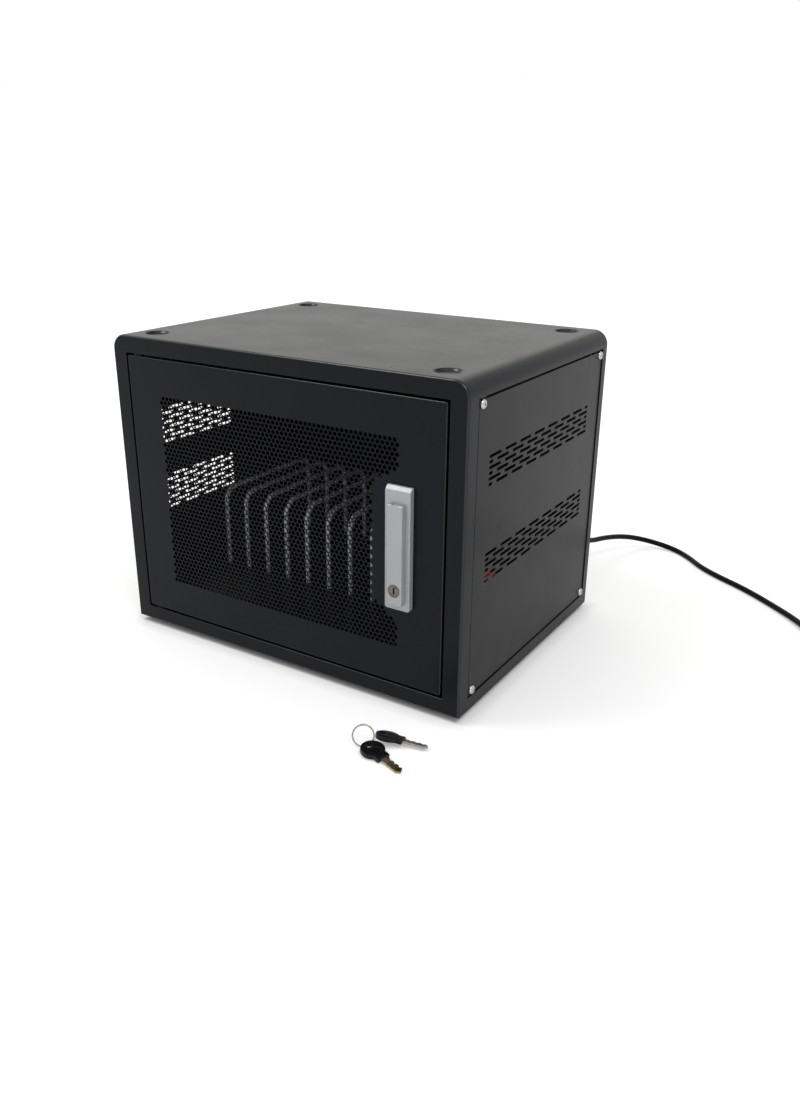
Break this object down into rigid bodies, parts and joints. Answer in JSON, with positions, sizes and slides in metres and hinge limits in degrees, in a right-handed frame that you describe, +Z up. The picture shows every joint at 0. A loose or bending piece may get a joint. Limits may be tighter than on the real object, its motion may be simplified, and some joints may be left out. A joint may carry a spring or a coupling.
{
  "type": "charging cabinet",
  "caption": "Lockable sheet-steel charging cabinet for tablets: perforated swing door with a lever lock, slotted sides, wire dividers on a tray, USB charging unit and mains lead.",
  "frame": {"origin": "on the floor, under the middle of the casing's footprint, level with the soles of the rubber feet", "axes": "+Z up; the door faces -Y; +X to the right of someone facing the door"},
  "size_m": [0.7559, 0.6264, 0.316],
  "materials": {
    "black_powder_coat": "satin powder coat",
    "nickel_screws": "bright nickel plate",
    "foot_rubber": "matte",
    "bush_nylon": "smooth nylon",
    "zinc_plated_steel": "bright zinc plate",
    "grey_lacquer": "satin silver-grey lacquer",
    "lock_brass_dark": "dulled plate",
    "divider_wire": "bright drawn wire",
    "unit_plastic": "fine moulded grain",
    "port_plastic": "smooth moulded",
    "red_plastic": "gloss, lit from inside",
    "cord_jacket": "smooth PVC",
    "tie_fabric": "hook-and-loop strap",
    "plug_plastic": "smooth PVC",
    "pin_nickel": "nickel plate",
    "key_plastic": "fine moulded grain",
    "key_brass": "rolled brass",
    "key_nickel": "nickel plate"
  },
  "bodies": {
    "cabinet": {"front_frame": "black_powder_coat", "back_panel": "black_powder_coat", "top_cover": "black_powder_coat", "base_pan": "black_powder_coat", "corner_post_front_left": "black_powder_coat", "corner_post_front_right": "black_powder_coat", "corner_post_rear_left": "black_powder_coat", "corner_post_rear_right": "black_powder_coat", "side_panel_left": "black_powder_coat", "side_panel_right": "black_powder_coat", "side_panel_screws": "nickel_screws", "rubber_feet": "foot_rubber", "hinge_bush_top": "bush_nylon", "hinge_bush_bottom": "bush_nylon", "strike_plate": "zinc_plated_steel", "device_tray": "black_powder_coat", "divider_1": "divider_wire", "divider_2": "divider_wire", "divider_3": "divider_wire", "divider_4": "divider_wire", "divider_5": "divider_wire", "divider_6": "divider_wire", "divider_7": "divider_wire", "divider_8": "divider_wire", "divider_9": "divider_wire", "charger_housing": "unit_plastic", "charger_cover": "unit_plastic", "port_strip": "port_plastic", "rocker_bezel": "port_plastic", "strain_relief": "cord_jacket", "gland_nut": "cord_jacket", "inner_lead": "cord_jacket", "power_cord": "cord_jacket", "cord_coil": "cord_jacket", "cord_tie": "tie_fabric", "plug_body": "plug_plastic", "plug_pins": "pin_nickel", "near_key_bow": "key_plastic", "near_key_blade": "key_brass", "far_key_bow": "key_plastic", "far_key_blade": "key_nickel", "key_ring": "key_nickel"},
    "door": {"door_panel": "black_powder_coat", "door_frame": "black_powder_coat", "door_pivot_top": "black_powder_coat", "door_pivot_bottom": "black_powder_coat", "handle_base": "grey_lacquer", "handle_screws": "zinc_plated_steel"},
    "latch": {"spindle": "grey_lacquer", "latch_cam": "zinc_plated_steel", "cam_nut": "zinc_plated_steel", "lever_pin": "zinc_plated_steel"},
    "lever": {"handle_lever": "grey_lacquer"},
    "lock": {"lock_core": "lock_brass_dark"},
    "switch": {"rocker": "red_plastic"}
  },
  "joints": [
    {"name": "door_swing", "type": "hinge", "parent": "cabinet", "child": "door", "pos_m": [-0.1706, -0.147, 0.1605], "axis": [0, 0, -1], "range_deg": [0, 120]},
    {"name": "handle_turn", "type": "hinge", "parent": "door", "child": "latch", "pos_m": [0.139, -0.153, 0.201], "axis": [0, 1, 0], "range_deg": [0, 90]},
    {"name": "lever_lift", "type": "hinge", "parent": "latch", "child": "lever", "pos_m": [0.139, -0.1616, 0.201], "axis": [-1, 0, 0], "range_deg": [0, 30]},
    {"name": "key_turn", "type": "hinge", "parent": "lever", "child": "lock", "pos_m": [0.139, -0.1641, 0.123], "axis": [0, 1, 0], "range_deg": [0, 90]},
    {"name": "rocker_tilt", "type": "hinge", "parent": "cabinet", "child": "switch", "pos_m": [0.181, -0.064, 0.1088], "axis": [-1, 0, 0], "range_deg": [0, 24]}
  ]
}
